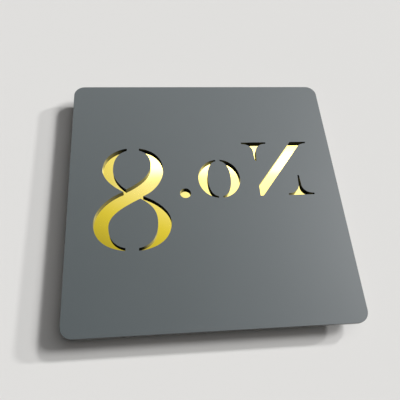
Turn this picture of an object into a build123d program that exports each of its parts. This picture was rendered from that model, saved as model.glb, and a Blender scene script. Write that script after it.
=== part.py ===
from build123d import *
import os
from math import cos, radians, sqrt, tan

# House number plaque. A satin sheet with a stencil number cut right through it is bonded to a mirror
# sheet, which shows through the cuts. Round spacers on adhesive pads hold the two off the wall.
# Millimetres. The plaque lies face up: +Z points out of the face and away from the wall, and +Y up the
# numeral. The origin is in the wall's plane, at the plaque's middle. The lettering reads mirrored.

# Face plate
PLATE_SIDE = 200.0
PLATE_CORNER_RADIUS = 8.2
PLATE_THICKNESS = 2.6
PLATE_EDGE_BREAK = 0.15

# Mirror panel, smaller than the face plate so that its edge stays out of sight
PANEL_INSET = 6.0
PANEL_CORNER_RADIUS = 4.0
PANEL_THICKNESS = 3.0

# Spacers and wall pads, one of each near every corner of the panel
SPACER_EDGE_DISTANCE = 22.0
SPACER_DIAMETER = 22.0
SPACER_HEIGHT = 8.0
SPACER_EDGE_BREAK = 0.6
PAD_DIAMETER = 19.0
PAD_THICKNESS = 1.0

# Numeral: two bowls that meet at a waist, crossed by a thick slanting spine. The waist's place is from
# the plaque's middle, and reaches, heights and middles are from the waist.
WAIST_X = -53.9
WAIST_Y = 0.4
UPPER_BOWL_HEIGHT = 39.5
UPPER_BOWL_LEFT = 22.3
UPPER_BOWL_RIGHT = 22.2
UPPER_BOWL_MIDDLE = 20.5
UPPER_COUNTER_MIDDLE = 24.1
LOWER_BOWL_HEIGHT = 44.0
LOWER_BOWL_LEFT = 27.8
LOWER_BOWL_RIGHT = 26.7
LOWER_BOWL_MIDDLE = 22.8
LOWER_COUNTER_MIDDLE = 25.8
HAIRLINE = 1.8
UPPER_CRESCENT = 7.6
UPPER_SPINE = 9.0
LOWER_CRESCENT = 9.5
LOWER_SPINE = 10.5
SPINE_WIDTH = 11.5
SPINE_SLOPE = 27.2
UPPER_CRESCENT_SLOPE = 37.0
LOWER_CRESCENT_SLOPE = 31.4
NOTCH_SPINE_SLOPE = 22.5
UPPER_NOTCH_SLOPE = 28.0
LOWER_NOTCH_SLOPE = 21.5
NOTCH_REACH = 7.0
NOTCH_RISE = 2.0
TIP_REACH = 5.1
NUMERAL_BRIDGE = 9.1
FOOT_BRIDGE_SHIFT = 1.0

# Letters and dot, on one baseline
BASELINE_Y = -3.7
DOT_X = -16.1
DOT_DIAMETER = 8.0
DOT_OVERSHOOT = 0.3
ROUND_X = 9.9
ROUND_WIDTH = 31.4
ROUND_HEIGHT = 32.9
ROUND_OVERSHOOT = 0.9
ROUND_CRESCENT = 7.0
ROUND_HAIRLINE = 1.2
ROUND_BRIDGE = 3.2
CAPITAL_X = 55.2
CAPITAL_HEIGHT = 47.4
STEM_SPREAD = 31.1
STEM_LENGTH = 16.9
STEM_TIP_WIDTH = 1.2
STEM_ROOT_WIDTH = 2.0
SERIF_WIDTH = 19.6
SERIF_TIP = 1.4
SERIF_BRACKET = 8.9
DIAGONAL_FOOT_REACH = 15.8
DIAGONAL_FOOT_WIDTH = 2.2
DIAGONAL_FOOT_HEIGHT = 8.9
DIAGONAL_TOP_REACH = 13.8
DIAGONAL_SERIF = 26.4
DIAGONAL_SERIF_TIP = 1.4
DIAGONAL_BRACKET = 4.0

# Fullness of a conic arc: this value gives an ellipse, a larger one a squarer curve
ELLIPSE = sqrt(0.5)
FULL = 0.80
FULLER = 0.86
SQUARE = 0.92
SQUARER = 1.2

PAD_TOP = PAD_THICKNESS
SPACER_TOP = PAD_TOP + SPACER_HEIGHT
PANEL_TOP = SPACER_TOP + PANEL_THICKNESS
PANEL_SIDE = PLATE_SIDE - 2 * PANEL_INSET
SPACER_OFFSET = PANEL_SIDE / 2 - SPACER_EDGE_DISTANCE


def bow(start, corner, end, fullness=FULL):
    """Conic arc from start to end that leaves and arrives along the lines to corner."""
    return Bezier(start, corner, end, weights=[1, fullness, 1])


def filled(*edges):
    """Flat face inside a closed run of edges."""
    return make_face(Curve() + list(edges))


def oval(half_width, half_height, fullness):
    """Closed oval of four like arcs about the origin."""
    east, north = (half_width, 0), (0, half_height)
    west, south = (-half_width, 0), (0, -half_height)
    return filled(
        bow(east, (half_width, half_height), north, fullness),
        bow(north, (-half_width, half_height), west, fullness),
        bow(west, (-half_width, -half_height), south, fullness),
        bow(south, (half_width, -half_height), east, fullness),
    )


def numeral():
    """Figure eight: the outline of both bowls, less the two counters and the stencil bridges."""
    left, right = WAIST_X - NOTCH_REACH, WAIST_X + NOTCH_REACH
    left_notch = (left, WAIST_Y + NOTCH_RISE)
    right_notch = (right, WAIST_Y - NOTCH_RISE)
    spine_slope = tan(radians(NOTCH_SPINE_SLOPE))

    def bowl(side, far_left, far_right, height, middle, notch_slope, fullness):
        """One bowl's outline from notch to notch: side is 1 above the waist and -1 below it."""
        x0, x1 = WAIST_X - far_left, WAIST_X + far_right
        y_mid, y_far = WAIST_Y + side * middle, WAIST_Y + side * height
        left_slope, right_slope = (tan(radians(notch_slope)), spine_slope)[::side]
        y0 = left_notch[1] + side * left_slope * (left - x0)
        y1 = right_notch[1] + side * right_slope * (x1 - right)
        return [
            bow(left_notch, (x0, y0), (x0, y_mid)),
            bow((x0, y_mid), (x0, y_far), (WAIST_X, y_far), fullness),
            bow((WAIST_X, y_far), (x1, y_far), (x1, y_mid), fullness),
            bow((x1, y_mid), (x1, y1), right_notch),
        ]

    def counter(side, thin_x, thick_x, far, thin_middle, thick_middle, thin_slope, fullness):
        """One bowl's counter, its tip on the spine: thin is its crescent side, thick its spine side."""
        spine_edge = side * SPINE_WIDTH / 2 / cos(radians(SPINE_SLOPE))
        rise = tan(radians(SPINE_SLOPE))
        tip_x = WAIST_X - side * TIP_REACH
        tip = (tip_x, WAIST_Y + spine_edge + rise * (tip_x - WAIST_X))
        thin_y, thick_y = WAIST_Y + side * thin_middle, WAIST_Y + side * thick_middle
        y_far = WAIST_Y + side * far
        thick_corner = (thick_x, tip[1] + rise * (thick_x - tip_x))
        thin_corner = (thin_x, tip[1] - tan(radians(thin_slope)) * (thin_x - tip_x))
        return filled(
            bow(tip, thick_corner, (thick_x, thick_y), fullness),
            bow((thick_x, thick_y), (thick_x, y_far), (WAIST_X, y_far), SQUARE),
            bow((WAIST_X, y_far), (thin_x, y_far), (thin_x, thin_y), SQUARE),
            bow((thin_x, thin_y), thin_corner, tip, fullness),
        )

    upper_bowl = (UPPER_BOWL_LEFT, UPPER_BOWL_RIGHT, UPPER_BOWL_HEIGHT, UPPER_BOWL_MIDDLE)
    lower_bowl = (LOWER_BOWL_LEFT, LOWER_BOWL_RIGHT, LOWER_BOWL_HEIGHT, LOWER_BOWL_MIDDLE)
    outline = filled(
        *bowl(1, *upper_bowl, UPPER_NOTCH_SLOPE, FULL),
        *bowl(-1, *lower_bowl, LOWER_NOTCH_SLOPE, FULLER),
    )
    upper = counter(
        1,
        WAIST_X - UPPER_BOWL_LEFT + UPPER_CRESCENT,
        WAIST_X + UPPER_BOWL_RIGHT - UPPER_SPINE,
        UPPER_BOWL_HEIGHT - HAIRLINE,
        UPPER_BOWL_MIDDLE,
        UPPER_COUNTER_MIDDLE,
        UPPER_CRESCENT_SLOPE,
        SQUARE,
    )
    lower = counter(
        -1,
        WAIST_X + LOWER_BOWL_RIGHT - LOWER_CRESCENT,
        WAIST_X - LOWER_BOWL_LEFT + LOWER_SPINE,
        LOWER_BOWL_HEIGHT - HAIRLINE,
        LOWER_BOWL_MIDDLE,
        LOWER_COUNTER_MIDDLE,
        LOWER_CRESCENT_SLOPE,
        SQUARER,
    )
    bridge = Rectangle(NUMERAL_BRIDGE, 4 * HAIRLINE)
    top_bridge = Pos(WAIST_X, WAIST_Y + UPPER_BOWL_HEIGHT) * bridge
    foot_bridge = Pos(WAIST_X - FOOT_BRIDGE_SHIFT, WAIST_Y - LOWER_BOWL_HEIGHT) * bridge
    return outline - upper - lower - top_bridge - foot_bridge


def dot():
    """Full point, a little below the baseline."""
    middle = BASELINE_Y - DOT_OVERSHOOT + DOT_DIAMETER / 2
    return Pos(DOT_X, middle) * Circle(DOT_DIAMETER / 2)


def round_letter():
    """Small o: a ring, thick at its sides and thin at its ends, parted by a bridge into two crescents."""
    middle = BASELINE_Y - ROUND_OVERSHOOT + ROUND_HEIGHT / 2
    outer = oval(ROUND_WIDTH / 2, ROUND_HEIGHT / 2, ELLIPSE)
    inner = oval(ROUND_WIDTH / 2 - ROUND_CRESCENT, ROUND_HEIGHT / 2 - ROUND_HAIRLINE, SQUARE)
    bridge = Rectangle(ROUND_BRIDGE, 2 * ROUND_HEIGHT)
    return Pos(ROUND_X, middle) * (outer - inner - bridge)


def thin_stem():
    """Capital's thin stem with its bracketed serif, hanging from the cap line at its own middle."""
    half, root, tip = SERIF_WIDTH / 2, STEM_ROOT_WIDTH / 2, STEM_TIP_WIDTH / 2
    return filled(
        Line((-half, 0), (half, 0)),
        Line((half, 0), (half, -SERIF_TIP)),
        bow((half, -SERIF_TIP), (root, -SERIF_TIP), (root, -SERIF_BRACKET)),
        Line((root, -SERIF_BRACKET), (tip, -STEM_LENGTH)),
        Line((tip, -STEM_LENGTH), (-tip, -STEM_LENGTH)),
        Line((-tip, -STEM_LENGTH), (-root, -SERIF_BRACKET)),
        bow((-root, -SERIF_BRACKET), (-root, -SERIF_TIP), (-half, -SERIF_TIP)),
        Line((-half, -SERIF_TIP), (-half, 0)),
    )


def diagonal():
    """Capital's thick diagonal, from a pointed foot on the left to a half serif at the top right."""
    foot_x = CAPITAL_X - DIAGONAL_FOOT_REACH
    cap_y = BASELINE_Y + CAPITAL_HEIGHT
    knee = (foot_x, BASELINE_Y + DIAGONAL_FOOT_HEIGHT)
    shoulder = (CAPITAL_X + DIAGONAL_TOP_REACH, cap_y)
    lean = (shoulder[0] - knee[0]) / (shoulder[1] - knee[1])
    heel = (foot_x + DIAGONAL_FOOT_WIDTH, BASELINE_Y)
    armpit_y = cap_y - DIAGONAL_BRACKET
    armpit = (heel[0] + lean * (armpit_y - heel[1]), armpit_y)
    serif_x = CAPITAL_X + DIAGONAL_SERIF
    serif_y = cap_y - DIAGONAL_SERIF_TIP
    corner = (heel[0] + lean * (serif_y - heel[1]), serif_y)
    return filled(
        Line((foot_x, BASELINE_Y), knee),
        Line(knee, shoulder),
        Line(shoulder, (serif_x, cap_y)),
        Line((serif_x, cap_y), (serif_x, serif_y)),
        bow((serif_x, serif_y), corner, armpit),
        Line(armpit, heel),
        Line(heel, (foot_x, BASELINE_Y)),
    )


def capital():
    """Capital letter: the diagonal between two thin stems, one the other turned half round."""
    middle_y = BASELINE_Y + CAPITAL_HEIGHT / 2
    stem = Pos(-STEM_SPREAD / 2, CAPITAL_HEIGHT / 2) * thin_stem()
    stems = stem + Rot(0, 0, 180) * stem
    return diagonal() + Pos(CAPITAL_X, middle_y) * stems


def face_plate():
    """Rounded square sheet with every cut of the lettering right through it."""
    outline = RectangleRounded(PLATE_SIDE, PLATE_SIDE, PLATE_CORNER_RADIUS)
    plate = extrude(outline, PLATE_THICKNESS)
    plate = chamfer(plate.faces().sort_by(Axis.Z)[-1].edges(), PLATE_EDGE_BREAK)
    for shape in (numeral(), dot(), round_letter(), capital()):
        plate -= extrude(shape, PLATE_THICKNESS)
    return Pos(0, 0, PANEL_TOP) * plate


def mirror_panel():
    """Mirror sheet, concentric with the face plate."""
    outline = RectangleRounded(PANEL_SIDE, PANEL_SIDE, PANEL_CORNER_RADIUS)
    return Pos(0, 0, SPACER_TOP) * extrude(outline, PANEL_THICKNESS)


def spacer():
    """Turned disc between a pad and the panel, with both its rims broken."""
    disc = extrude(Circle(SPACER_DIAMETER / 2), SPACER_HEIGHT)
    return Pos(0, 0, PAD_TOP) * chamfer(disc.edges(), SPACER_EDGE_BREAK)


def wall_pad():
    """Adhesive foam disc between a spacer and the wall."""
    return extrude(Circle(PAD_DIAMETER / 2), PAD_THICKNESS)


def corners():
    """Name and place of each corner's spacer and pad."""
    for row, y in (("top", SPACER_OFFSET), ("bottom", -SPACER_OFFSET)):
        for column, x in (("left", -SPACER_OFFSET), ("right", SPACER_OFFSET)):
            yield f"{row}_{column}", Pos(x, y)


def main():
    pieces = {"face_plate": face_plate(), "mirror_panel": mirror_panel()}
    for name, place in corners():
        pieces[f"spacer_{name}"] = place * spacer()
        pieces[f"wall_pad_{name}"] = place * wall_pad()
    os.makedirs("parts", exist_ok=True)
    for name, piece in pieces.items():
        export_step(piece, f"parts/{name}.step")


main()
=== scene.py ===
from math import radians

import bpy
from mathutils import Euler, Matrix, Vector


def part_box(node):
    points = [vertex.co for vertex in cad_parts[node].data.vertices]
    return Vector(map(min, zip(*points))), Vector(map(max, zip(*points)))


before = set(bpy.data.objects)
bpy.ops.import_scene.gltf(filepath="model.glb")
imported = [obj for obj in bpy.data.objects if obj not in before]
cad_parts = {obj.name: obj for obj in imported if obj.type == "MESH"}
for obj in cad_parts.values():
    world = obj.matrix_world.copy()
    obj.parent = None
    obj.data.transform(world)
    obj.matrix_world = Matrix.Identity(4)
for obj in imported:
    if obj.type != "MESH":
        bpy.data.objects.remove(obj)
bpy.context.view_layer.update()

# Camera, in metres, degrees and millimetres of lens. It looks at a spot on the face, near the middle.
FACE_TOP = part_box("face_plate")[1].z
AIM = Vector((-0.00594, -0.00596, FACE_TOP))
CAMERA_DISTANCE = 0.33726
CAMERA_BEARING = 193.21
CAMERA_ELEVATION = 61.88
CAMERA_ROLL = 10.13
CAMERA_LENS = 41.82
SENSOR = 36.0

# Face plate. Colours are 8-bit screen colours, in pairs that a noise mixes. Scales are features a metre
# and bumps are metres. Each roughness is a ramp: two values of the noise, and the roughness at each.
# SHEET_FLAT is how upright the normal is at the end of the cut edges and at the start of the flat faces.
SHEET_COLOURS = ((75, 82, 85), (78, 85, 88))
SHEET_CLOUDS = 22.0
SHEET_GRAIN = 2600.0
SHEET_GRAIN_DETAIL = 3.0
SHEET_ROUGHNESS = (0.3, 0.7, 0.42, 0.50)
SHEET_BUMP = 0.00001
SHEET_IOR = 1.55
SHEET_FLAT = (0.8, 0.95)
# Cut edges: darker than the sheet, partly the glossy cut's own colour and partly painted shade for the
# dark walls of the cut-outs
CUT_COLOURS_WITH_PAINTED_SHADE = ((22, 24, 25), (36, 39, 40))
CUT_STREAKS = (2400.0, 2400.0, 60.0)
CUT_ROUGHNESS = (0.3, 0.7, 0.10, 0.18)

# Mirror panel: a linear gold, and screen colours for the amber edge and the painted back. MIRROR_FRONT and
# MIRROR_BACK are the normal's height where each side starts and where it is full.
GOLD = (0.95, 0.79, 0.225, 1.0)
AMBER_EDGE = (150, 112, 30)
GREY_BACK = (118, 120, 122)
MIRROR_FRONT = (0.5, 0.9)
MIRROR_BACK = (-0.5, -0.9)
MIRROR_RIPPLE = 26.0
MIRROR_SMEAR = 60.0
MIRROR_SMEAR_DETAIL = 4.0
MIRROR_ROUGHNESS = (0.3, 0.8, 0.04, 0.07)
MIRROR_BUMP = 0.00002
COAT_ROUGHNESS = 0.03
AMBER_ROUGHNESS = 0.2
PAINT_GRAIN = 1500.0
PAINT_ROUGHNESS = 0.55

# Spacers
BLACK_COLOURS = ((20, 20, 21), (30, 30, 31))
BLACK_RINGS = (120.0, 120.0, 3000.0)
BLACK_ROUGHNESS = (0.3, 0.7, 0.22, 0.34)
BLACK_BUMP = 0.00001

# Wall pads
FOAM_COLOURS = ((52, 53, 54), (84, 85, 86))
FOAM_CELLS = 2500.0
FOAM_ROUGHNESS = (0.0, 0.6, 0.95, 0.8)
FOAM_BUMP = 0.0001

# Floor: half its side in metres, and its looks
FLOOR_HALF = 3.0
FLOOR_COLOUR = (222, 221, 219)
FLOOR_ROUGHNESS = 0.9
FLOOR_SPECULAR = 0.1

# Lamps, in degrees and watts a square metre
KEY = {"azimuth": 75.0, "elevation": 39.5, "spread": 14.0, "strength": 1.75}
BACK = {"azimuth": 57.5, "elevation": 37.0, "spread": 5.5, "strength": 1.3}
LOW = {"azimuth": 71.5, "elevation": 24.5, "spread": 3.4, "strength": 1.4}

# Surroundings. Across and behind are the sky's X and Y over its height, taken as at least this.
LEAST_HEIGHT = 0.05
BACKGROUND = 0.74

# Ramps over the sky: where each starts and ends, and its values there
FILL_AZIMUTH = 80.0
FILL_ELEVATION = 70.0
FILL = (0.75, 0.97, 0.0, 0.93)
ROOM_SLANT = 0.4
ROOM = (0.241, 0.50, 0.09, 1.1)
SHADE_AT_CAMERA = (0.75, 0.92, 1.0, 0.08)
SHADE_AT_LEFT = (-0.30, -0.12, 0.05, 1.0)
SHADE_FAR_BEHIND = (0.75, 0.95, 1.0, 0.3)
HORIZON = (0.60, 0.74, 1.0, 0.0)
ZENITH = (0.955, 0.985, 0.0, 0.58)

# Soft boxes: where each starts, is full, fades and ends, both ways. The shade is taken off the room, the
# lit boxes are added to it, and the walls show where they are brighter than it.
LEFT_SHADE = {"strength": 0.14, "across": (-0.5, -0.3, -0.085, -0.05), "behind": (0.53, 0.58, 0.8, 0.9)}
BACK_BOX = {"strength": 0.62, "across": (-0.09, 0.0, 0.9, 1.5), "behind": (0.565, 0.63, 0.72, 0.84)}
SIDE_BOX = {"strength": 0.9, "across": (0.06, 0.22, 0.9, 1.5), "behind": (0.46, 0.58, 0.72, 0.84)}
BAND = {"strength": 2.4, "across": (-0.06, -0.01, 0.5, 0.9), "behind": (0.578, 0.620, 0.637, 0.674)}
FRONT_BOX = {"strength": 1.3, "across": (0.20, 0.40, 0.6, 0.8), "behind": (-0.75, -0.1, 0.30, 0.50)}
GLOW_BOX = {"strength": 1.2, "across": (0.47, 0.54, 1.6, 2.2), "behind": (0.30, 0.45, 0.95, 1.3)}
FAR_WALL = {"strength": 1.6, "across": (-1.8, -1.0, 1.2, 2.0), "behind": (0.74, 0.84, 3.0, 4.0)}
FAR_BOX = {"strength": 3.0, "across": (-0.6, -0.3, 0.7, 1.1), "behind": (0.74, 0.82, 1.0, 1.15)}
LEFT_WALL = {"strength": 0.9, "across": (-4.0, -3.0, -1.0, -0.82), "behind": (0.0, 0.3, 1.2, 1.8)}
LIT_BOXES = (BACK_BOX, SIDE_BOX, BAND, FRONT_BOX, GLOW_BOX)
WALLS = (FAR_WALL, FAR_BOX, LEFT_WALL)

# Warm card, which tints what the mirror shows of the near and left parts of the room
WHITE = (1.0, 1.0, 1.0, 1.0)
WARM = (1.0, 0.935, 0.22, 1.0)
WARM_SLANT = 0.38
WARM_NEAR = (0.455, 0.5625, 1.0, 0.0)
WARM_LEFT = (-0.10, -0.055, 0.55, 0.0)
WARM_CARD = {"strength": 1.0, "across": (-0.5, -0.25, 0.1, 0.2), "behind": (0.1, 0.3, 0.7, 0.9)}


def colour(red, green, blue):
    """Linear colour, with alpha, of an 8-bit screen colour, by the sRGB curve."""
    channels = [c / 255 for c in (red, green, blue)]
    return [c / 12.92 if c <= 0.04045 else ((c + 0.055) / 1.055) ** 2.4 for c in channels] + [1.0]


def node(tree, kind, inputs=None, **settings):
    """New node: each input given as a socket is linked, and any other is set as its value."""
    made = tree.nodes.new(kind)
    for name, value in settings.items():
        setattr(made, name, value)
    for name, value in (inputs or {}).items():
        socket = made.inputs[name]
        if isinstance(value, bpy.types.NodeSocket):
            tree.links.new(value, socket)
        else:
            socket.default_value = value
    return made


def combine(tree, operation, first, second=0.0):
    """Socket with the result of an operation on one or two numbers."""
    return node(tree, "ShaderNodeMath", {0: first, 1: second}, operation=operation).outputs[0]


def ramp(tree, value, low, high, at_low=0.0, at_high=1.0, smooth=True):
    """Socket that goes from at_low to at_high as value goes from low to high."""
    kind = "SMOOTHSTEP" if smooth else "LINEAR"
    limits = {"Value": value, "From Min": low, "From Max": high, "To Min": at_low, "To Max": at_high}
    return node(tree, "ShaderNodeMapRange", limits, interpolation_type=kind).outputs[0]


def noise(tree, vector, scale, detail=2.0):
    """Socket with a noise of that many features a metre."""
    inputs = {"Vector": vector, "Scale": scale, "Detail": detail}
    return node(tree, "ShaderNodeTexNoise", inputs).outputs[0]


def stretched_noise(tree, vector, scales):
    """Socket with a noise that has its own number of features a metre along each axis."""
    stretched = node(tree, "ShaderNodeMapping", {"Vector": vector, "Scale": scales}).outputs[0]
    return noise(tree, stretched, 1.0)


def blend(tree, factor, first, second):
    """Socket with a number that goes from first to second with factor."""
    return node(tree, "ShaderNodeMix", {0: factor, 2: first, 3: second}, data_type="FLOAT").outputs[0]


def blend_colour(tree, factor, first, second):
    """Socket with a colour that goes from first to second with factor."""
    return node(tree, "ShaderNodeMix", {0: factor, 6: first, 7: second}, data_type="RGBA").outputs[2]


def bump(tree, height, depth):
    """Socket with the normal of a surface whose height runs over that depth in metres."""
    return node(tree, "ShaderNodeBump", {"Height": height, "Distance": depth}).outputs[0]


def new_material(name):
    """Material with a plain Principled surface, its tree and its shader."""
    material = bpy.data.materials.new(name)
    material.use_nodes = True
    tree = material.node_tree
    return material, tree, tree.nodes["Principled BSDF"]


def attach(tree, shader, **sockets):
    """Links sockets to the shader's inputs of like names."""
    for name, socket in sockets.items():
        tree.links.new(socket, shader.inputs[name.replace("_", " ").title()])


def own_place(tree):
    """Socket with the object's own coordinates."""
    return node(tree, "ShaderNodeTexCoord").outputs["Object"]


def facing_up(tree):
    """Socket with the height of the surface's normal: 1 faces up, 0 is a side and -1 faces down."""
    normal = node(tree, "ShaderNodeNewGeometry").outputs["True Normal"]
    return node(tree, "ShaderNodeSeparateXYZ", {0: normal}).outputs["Z"]


def satin_acrylic():
    """Face plate: matt pigmented sheet with a fine grain, and smoother cut edges whose darker colour is
    partly their own and partly painted shade of the cut-outs.
    """
    material, tree, shader = new_material("satin_grey_acrylic")
    position = own_place(tree)
    flat = ramp(tree, combine(tree, "ABSOLUTE", facing_up(tree)), *SHEET_FLAT)
    cloud = noise(tree, position, SHEET_CLOUDS)
    grain = noise(tree, position, SHEET_GRAIN, SHEET_GRAIN_DETAIL)
    streaks = stretched_noise(tree, position, CUT_STREAKS)
    sheet = blend_colour(tree, cloud, *[colour(*shade) for shade in SHEET_COLOURS])
    # Cut-edge colour, which carries painted shade of the cut-out walls
    edge_with_painted_shade = blend_colour(tree, streaks, *[colour(*shade) for shade in CUT_COLOURS_WITH_PAINTED_SHADE])
    edge_roughness = ramp(tree, streaks, *CUT_ROUGHNESS)
    sheet_roughness = ramp(tree, grain, *SHEET_ROUGHNESS)
    attach(
        tree,
        shader,
        base_color=blend_colour(tree, flat, edge_with_painted_shade, sheet),
        roughness=blend(tree, flat, edge_roughness, sheet_roughness),
        normal=bump(tree, blend(tree, flat, streaks, grain), SHEET_BUMP),
    )
    shader.inputs["IOR"].default_value = SHEET_IOR
    return material


def gold_mirror():
    """Mirror panel: polished gold front with a faint ripple, amber edges and a grey painted back."""
    material, tree, shader = new_material("gold_mirror_acrylic")
    position = own_place(tree)
    facing = facing_up(tree)
    front = ramp(tree, facing, *MIRROR_FRONT)
    back = ramp(tree, facing, *MIRROR_BACK)
    ripple = noise(tree, position, MIRROR_RIPPLE)
    paint = noise(tree, position, PAINT_GRAIN)
    smear = noise(tree, position, MIRROR_SMEAR, MIRROR_SMEAR_DETAIL)
    edge_or_back = blend_colour(tree, back, colour(*AMBER_EDGE), colour(*GREY_BACK))
    edge_or_back_roughness = blend(tree, back, AMBER_ROUGHNESS, PAINT_ROUGHNESS)
    front_roughness = ramp(tree, smear, *MIRROR_ROUGHNESS)
    attach(
        tree,
        shader,
        base_color=blend_colour(tree, front, edge_or_back, GOLD),
        metallic=front,
        roughness=blend(tree, front, edge_or_back_roughness, front_roughness),
        normal=bump(tree, blend(tree, front, paint, ripple), MIRROR_BUMP),
        coat_weight=front,
    )
    shader.inputs["Coat Roughness"].default_value = COAT_ROUGHNESS
    return material


def black_acrylic():
    """Spacers: turned gloss black, with fine rings."""
    material, tree, shader = new_material("gloss_black_acrylic")
    rings = stretched_noise(tree, own_place(tree), BLACK_RINGS)
    attach(
        tree,
        shader,
        base_color=blend_colour(tree, rings, *[colour(*shade) for shade in BLACK_COLOURS]),
        roughness=ramp(tree, rings, *BLACK_ROUGHNESS),
        normal=bump(tree, rings, BLACK_BUMP),
    )
    return material


def pad_foam():
    """Wall pads: dark closed-cell foam."""
    material, tree, shader = new_material("pad_foam")
    pattern = node(tree, "ShaderNodeTexVoronoi", {"Vector": own_place(tree), "Scale": FOAM_CELLS})
    cells = pattern.outputs["Distance"]
    attach(
        tree,
        shader,
        base_color=blend_colour(tree, cells, *[colour(*shade) for shade in FOAM_COLOURS]),
        roughness=ramp(tree, cells, *FOAM_ROUGHNESS),
        normal=bump(tree, cells, FOAM_BUMP),
    )
    return material


def floor_paint():
    """Floor: plain and pale."""
    material, _, shader = new_material("pale_floor")
    shader.inputs["Base Color"].default_value = colour(*FLOOR_COLOUR)
    shader.inputs["Roughness"].default_value = FLOOR_ROUGHNESS
    shader.inputs["Specular IOR Level"].default_value = FLOOR_SPECULAR
    return material


def pale_floor():
    """Flat surface that the plaque lies on."""
    mesh = bpy.data.meshes.new("floor")
    corners = [(x * FLOOR_HALF, y * FLOOR_HALF, 0.0) for x, y in ((-1, -1), (1, -1), (1, 1), (-1, 1))]
    mesh.from_pydata(corners, [], [(0, 1, 2, 3)])
    mesh.materials.append(floor_paint())
    floor = bpy.data.objects.new("floor", mesh)
    bpy.context.collection.objects.link(floor)


def direction(azimuth, elevation):
    """Unit vector from the plaque: azimuth 0 is towards +Y and 90 towards +X, in degrees."""
    turn = Euler((radians(elevation), 0.0, radians(-azimuth)), "XYZ")
    return turn.to_matrix() @ Vector((0.0, 1.0, 0.0))


def far_lamp(name, azimuth, elevation, spread, strength):
    """Far lamp on the right, which throws the plaque's shadow to the left and below."""
    lamp = bpy.data.lights.new(name, "SUN")
    lamp.angle = radians(spread)
    lamp.energy = strength
    holder = bpy.data.objects.new(name, lamp)
    holder.rotation_euler = direction(azimuth, elevation).to_track_quat("Z", "Y").to_euler()
    bpy.context.collection.objects.link(holder)


def sky_places(tree):
    """Sockets that say where in the sky a ray goes."""
    sky = node(tree, "ShaderNodeTexCoord").outputs["Generated"]
    parts = node(tree, "ShaderNodeSeparateXYZ", {0: sky}).outputs
    height = combine(tree, "MAXIMUM", parts["Z"], LEAST_HEIGHT)
    return {
        "sky": sky,
        "x": parts["X"],
        "y": parts["Y"],
        "z": parts["Z"],
        "across": combine(tree, "DIVIDE", parts["X"], height),
        "behind": combine(tree, "DIVIDE", parts["Y"], height),
    }


def nearness(tree, places, azimuth, elevation):
    """Socket with how near the sky's direction is to another: 1 where they are the same."""
    inputs = {0: places["sky"], 1: direction(azimuth, elevation)}
    return node(tree, "ShaderNodeVectorMath", inputs, operation="DOT_PRODUCT").outputs["Value"]


def slanted(tree, first, second, share):
    """Socket with the first place and a share of the second added up."""
    return combine(tree, "ADD", first, combine(tree, "MULTIPLY", second, share))


def soft_box(tree, places, strength, across, behind):
    """Socket with the brightness of a soft-edged box in the sky."""
    light = strength
    for place, (start, full, fade, end) in ((places["across"], across), (places["behind"], behind)):
        rise = ramp(tree, place, start, full)
        fall = ramp(tree, place, fade, end, 1.0, 0.0)
        light = combine(tree, "MULTIPLY", combine(tree, "MULTIPLY", rise, fall), light)
    return light


def shaded_room(tree, places):
    """Socket with the bare room: bright at the back right, dark near the camera and on the left."""
    back_right = slanted(tree, places["y"], places["x"], ROOM_SLANT)
    at_camera = nearness(tree, places, CAMERA_BEARING, CAMERA_ELEVATION)
    shades = (
        ramp(tree, at_camera, *SHADE_AT_CAMERA),
        ramp(tree, places["across"], *SHADE_AT_LEFT),
        ramp(tree, places["behind"], *SHADE_FAR_BEHIND),
        combine(tree, "SUBTRACT", 1.0, soft_box(tree, places, **LEFT_SHADE)),
    )
    room = ramp(tree, back_right, *ROOM, smooth=False)
    for shade in shades:
        room = combine(tree, "MULTIPLY", room, shade)
    return room


def lit_room(tree, places):
    """Socket with the room that glossy surfaces reflect, with its soft boxes and plain walls."""
    room = shaded_room(tree, places)
    for box in LIT_BOXES:
        room = combine(tree, "ADD", room, soft_box(tree, places, **box))
    surroundings = [ramp(tree, places["z"], *HORIZON), ramp(tree, places["z"], *ZENITH)]
    surroundings += [soft_box(tree, places, **wall) for wall in WALLS]
    for part in surroundings:
        room = combine(tree, "MAXIMUM", room, part)
    return room


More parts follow.
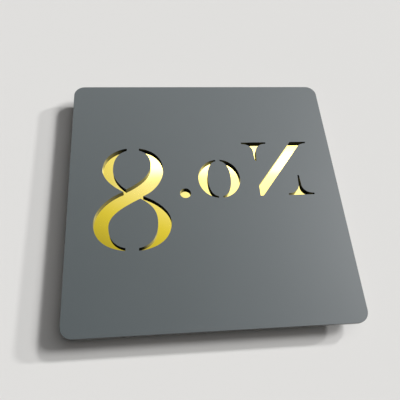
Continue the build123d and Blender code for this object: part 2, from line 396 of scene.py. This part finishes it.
def warm_tint(tree, places, glossy):
    """Socket with the room's colour: white, and warm where glossy rays meet the warm card."""
    nearer = slanted(tree, places["behind"], places["across"], WARM_SLANT)
    warm_near = ramp(tree, nearer, *WARM_NEAR, smooth=False)
    warm_left = ramp(tree, places["across"], *WARM_LEFT)
    warmth = combine(tree, "MAXIMUM", warm_near, warm_left)
    warmth = combine(tree, "MULTIPLY", warmth, soft_box(tree, places, **WARM_CARD))
    warmth = combine(tree, "MULTIPLY", warmth, glossy)
    return blend_colour(tree, warmth, WHITE, WARM)


def studio_world():
    """Surroundings: matt surfaces get a soft fill, glossy ones the room, and the camera a plain grey."""
    world = bpy.data.worlds.new("studio")
    world.use_nodes = True
    tree = world.node_tree
    places = sky_places(tree)
    rays = node(tree, "ShaderNodeLightPath").outputs
    fill = ramp(tree, nearness(tree, places, FILL_AZIMUTH, FILL_ELEVATION), *FILL)
    lit = blend(tree, rays["Is Glossy Ray"], fill, lit_room(tree, places))
    strength = blend(tree, rays["Is Camera Ray"], lit, BACKGROUND)
    background = tree.nodes["Background"]
    tree.links.new(warm_tint(tree, places, rays["Is Glossy Ray"]), background.inputs["Color"])
    tree.links.new(strength, background.inputs["Strength"])
    bpy.context.scene.world = world


def camera():
    """Camera above the plaque's foot and a little to the left, rolled as the photograph is."""
    data = bpy.data.cameras.new("camera")
    data.lens = CAMERA_LENS
    data.sensor_width = SENSOR
    holder = bpy.data.objects.new("camera", data)
    back = direction(CAMERA_BEARING, CAMERA_ELEVATION)
    holder.location = AIM + back * CAMERA_DISTANCE
    upright = back.to_track_quat("Z", "Y").to_matrix()
    roll = Euler((0.0, 0.0, radians(CAMERA_ROLL))).to_matrix()
    holder.rotation_euler = (upright @ roll).to_euler()
    bpy.context.collection.objects.link(holder)
    bpy.context.scene.camera = holder


def finish_of(nodes_start, material):
    """Gives each CAD node whose name starts so that material."""
    for name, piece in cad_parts.items():
        if name.startswith(nodes_start):
            for slot in piece.material_slots:
                slot.material = material


finish_of("face_plate", satin_acrylic())
finish_of("mirror_panel", gold_mirror())
finish_of("spacer", black_acrylic())
finish_of("wall_pad", pad_foam())
pale_floor()
far_lamp("key", **KEY)
far_lamp("back", **BACK)
far_lamp("low", **LOW)
studio_world()
camera()
bpy.context.scene.view_settings.view_transform = "Standard"
